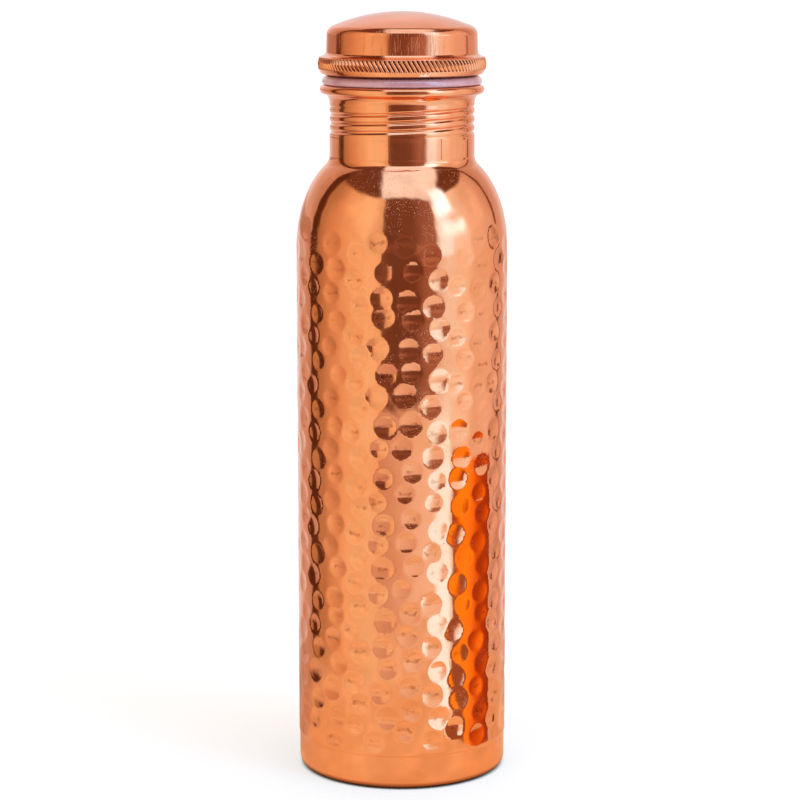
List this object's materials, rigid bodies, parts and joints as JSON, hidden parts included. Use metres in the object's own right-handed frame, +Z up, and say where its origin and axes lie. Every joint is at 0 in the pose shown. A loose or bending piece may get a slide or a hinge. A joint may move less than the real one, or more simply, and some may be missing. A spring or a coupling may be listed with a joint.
{
  "type": "screw-top water bottle",
  "caption": "Tall hammered copper water bottle with a threaded neck, silicone seal and a domed screw lid with a knurled grip ring.",
  "frame": {"origin": "centre of the foot ring, on the surface that the bottle stands on", "axes": "+Z up along the bottle's axis, towards the lid; the neck's upright seam faces -Y, turned towards +X"},
  "size_m": [0.073, 0.073, 0.2646],
  "materials": {
    "hammered_copper": "copper sheet, hand-hammered with closely set round dimples and polished to a mirror",
    "plain_copper": "copper, turned and polished, with fine scratches",
    "inner_copper": "bare copper, satin, on faces that are not polished",
    "braze": "copper-coloured filler, dressed smooth where it shows",
    "silicone": "milky silicone with a pink and lilac cast"
  },
  "bodies": {
    "bottle": {"body_shell": "hammered_copper", "base_pan": "inner_copper", "base_braze": "braze", "neck_collar": "plain_copper", "neck_braze": "braze"},
    "seal": {"seal_ring": "silicone"},
    "lid": {"plug_sleeve": "inner_copper", "plug_floor": "inner_copper", "knurled_ring": "plain_copper", "lid_crown": "plain_copper", "lid_braze": "braze"}
  },
  "joints": [
    {"name": "lid_lift", "type": "slide", "parent": "bottle", "child": "seal", "axis": [0, 0, 1], "range_m": [0, 0.0207]},
    {"name": "lid_turn", "type": "hinge", "parent": "seal", "child": "lid", "pos_m": [0, 0, 0.2429], "axis": [0, 0, 1], "range_deg": [0, 1260]}
  ],
  "couplings": [
    {"joint": "lid_lift", "follows": "lid_turn", "m_per_rad": 0.00093901}
  ]
}
